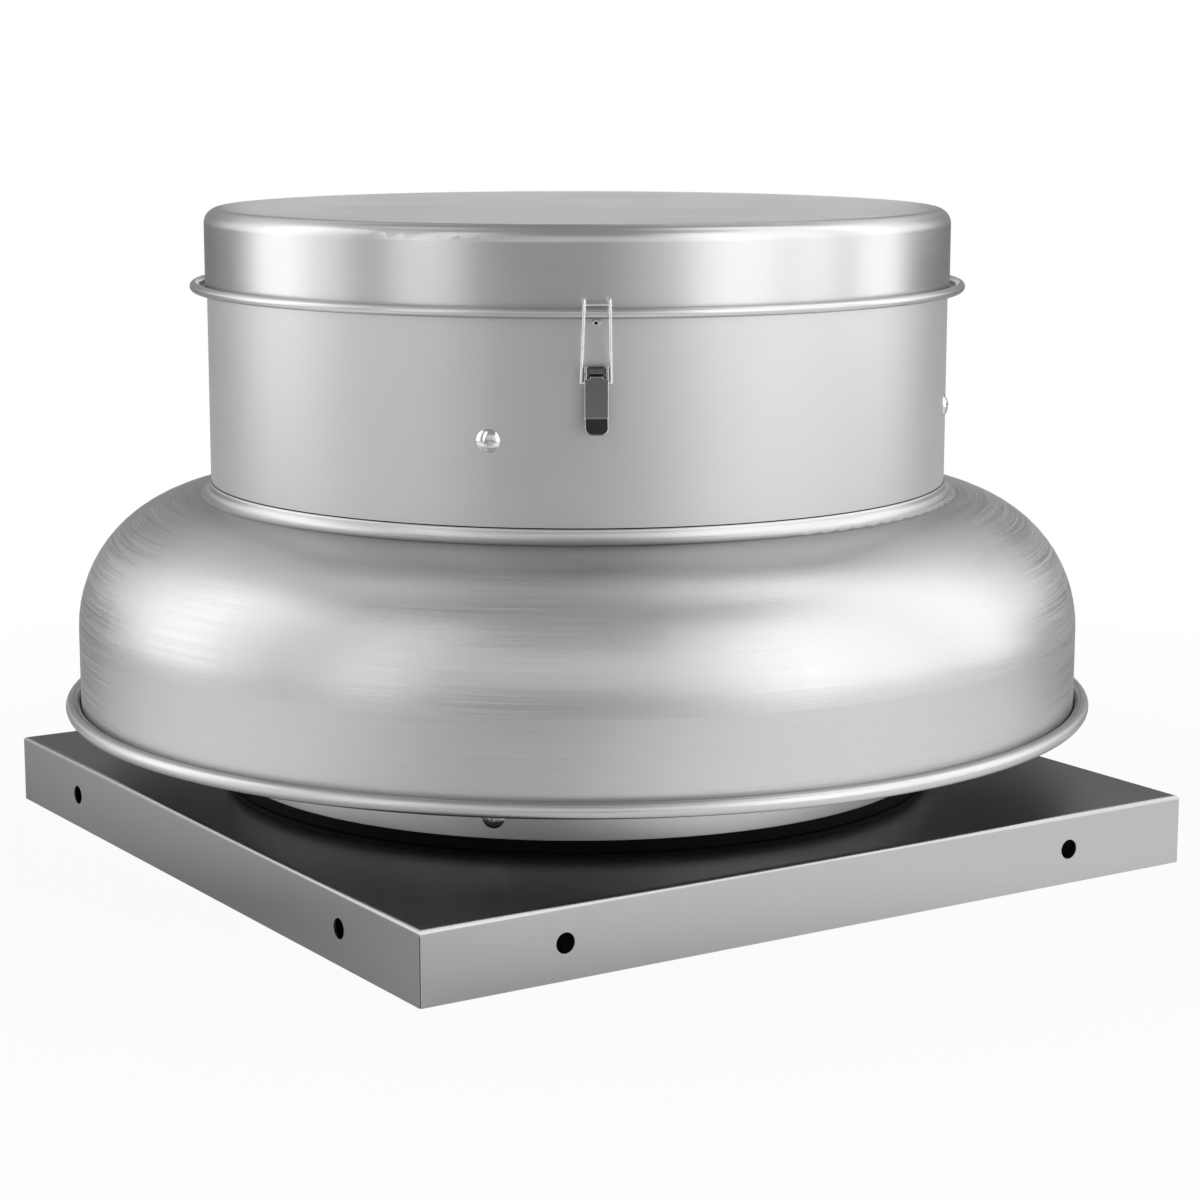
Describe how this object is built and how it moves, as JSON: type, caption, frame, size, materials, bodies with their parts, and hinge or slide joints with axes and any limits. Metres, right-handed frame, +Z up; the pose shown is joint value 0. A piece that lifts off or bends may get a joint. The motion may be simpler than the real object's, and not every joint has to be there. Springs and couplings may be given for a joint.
{
  "type": "roof exhaust fan",
  "caption": "Downblast roof exhaust fan: spun hood on a square curb cap, drum housing with a latched lid, direct-drive motor and backward-curved wheel.",
  "frame": {"origin": "centre of the lower edge of the curb cap", "axes": "+Z up along the wheel axis; the skirts of the square curb cap face +X, -X, +Y and -Y; -Y is the skirt seen on the right in the picture and -X the one on the left"},
  "size_m": [0.7624, 0.7624, 0.4715],
  "materials": {
    "cap_sheet": "satin mill finish",
    "spun_sheet": "spun, fine rings",
    "galvanised": "zinc plated",
    "steel": "satin",
    "bright_steel": "bright",
    "black_rubber": "matte",
    "grey_foam": "matte",
    "enamel": "semi-gloss",
    "lamination": "dull",
    "copper": "varnished",
    "black_plastic": "matte"
  },
  "bodies": {
    "frame": {"curb_cap": "cap_sheet", "inlet_cone": "spun_sheet", "collar_gasket": "black_rubber", "collar_ring": "spun_sheet", "collar_bolts": "galvanised", "support_leg_1": "galvanised", "support_leg_2": "galvanised", "support_leg_3": "galvanised", "support_leg_4": "galvanised", "collar_screws": "bright_steel", "collar_screw_nuts": "galvanised", "hood": "spun_sheet", "motor_housing": "spun_sheet", "housing_screws": "bright_steel", "housing_screw_nuts": "galvanised", "leg_spacers": "steel", "motor_deck": "galvanised", "deck_bolts": "galvanised", "deck_brackets": "galvanised", "bracket_bolts": "galvanised", "motor_isolators": "black_rubber", "motor_plate": "galvanised", "drive_end_bell": "enamel", "stator_frame": "enamel", "stator_core": "lamination", "stator_windings": "copper", "rear_end_bell": "enamel", "motor_tie_bolts": "galvanised", "terminal_box": "enamel", "terminal_box_cover": "enamel", "cable_glands": "black_plastic", "capacitor": "spun_sheet", "capacitor_clamp": "galvanised", "lower_bearing": "steel", "upper_bearing": "steel", "lid_gasket": "grey_foam", "latch_base_1": "bright_steel", "latch_base_2": "bright_steel", "latch_base_3": "bright_steel", "latch_pins": "steel", "latch_rivets": "bright_steel", "latch_backing_plates": "galvanised"},
    "wheel": {"motor_shaft": "steel", "rotor_core": "lamination", "wheel_hub": "steel", "wheel_backplate": "spun_sheet", "wheel_blades": "spun_sheet", "wheel_shroud": "spun_sheet", "hub_rivets": "bright_steel", "hub_set_screws": "steel"},
    "lid": {"lid": "spun_sheet"},
    "lever_1": {"latch_lever_1": "bright_steel"},
    "bail_1": {"latch_bail_1": "bright_steel"},
    "lever_2": {"latch_lever_2": "bright_steel"},
    "bail_2": {"latch_bail_2": "bright_steel"},
    "lever_3": {"latch_lever_3": "bright_steel"},
    "bail_3": {"latch_bail_3": "bright_steel"}
  },
  "joints": [
    {"name": "wheel_spin", "type": "hinge", "parent": "frame", "child": "wheel", "pos_m": [0, 0, 0.22], "axis": [0, 0, 1], "continuous": true},
    {"name": "lid_lift", "type": "slide", "parent": "frame", "child": "lid", "axis": [0, 0, 1], "range_m": [0, 0.15]},
    {"name": "lever_1_swing", "type": "hinge", "parent": "frame", "child": "lever_1", "pos_m": [-0.1383, -0.23954, 0.37794], "axis": [-0.866, 0.5, 0], "range_deg": [0, 150]},
    {"name": "bail_1_tilt", "type": "hinge", "parent": "lever_1", "child": "bail_1", "pos_m": [-0.13715, -0.23755, 0.36994], "axis": [-0.866, 0.5, 0], "range_deg": [-202.5, 0]},
    {"name": "lever_2_swing", "type": "hinge", "parent": "frame", "child": "lever_2", "pos_m": [0.2766, 0, 0.37794], "axis": [0, -1, 0], "range_deg": [0, 150]},
    {"name": "bail_2_tilt", "type": "hinge", "parent": "lever_2", "child": "bail_2", "pos_m": [0.2743, 0, 0.36994], "axis": [0, -1, 0], "range_deg": [-202.5, 0]},
    {"name": "lever_3_swing", "type": "hinge", "parent": "frame", "child": "lever_3", "pos_m": [-0.1383, 0.23954, 0.37794], "axis": [0.866, 0.5, 0], "range_deg": [0, 150]},
    {"name": "bail_3_tilt", "type": "hinge", "parent": "lever_3", "child": "bail_3", "pos_m": [-0.13715, 0.23755, 0.36994], "axis": [0.866, 0.5, 0], "range_deg": [-202.5, 0]}
  ],
  "couplings": [
    {"joint": "bail_1_tilt", "follows": "lever_1_swing", "ratio": -1.35},
    {"joint": "bail_2_tilt", "follows": "lever_2_swing", "ratio": -1.35},
    {"joint": "bail_3_tilt", "follows": "lever_3_swing", "ratio": -1.35}
  ]
}
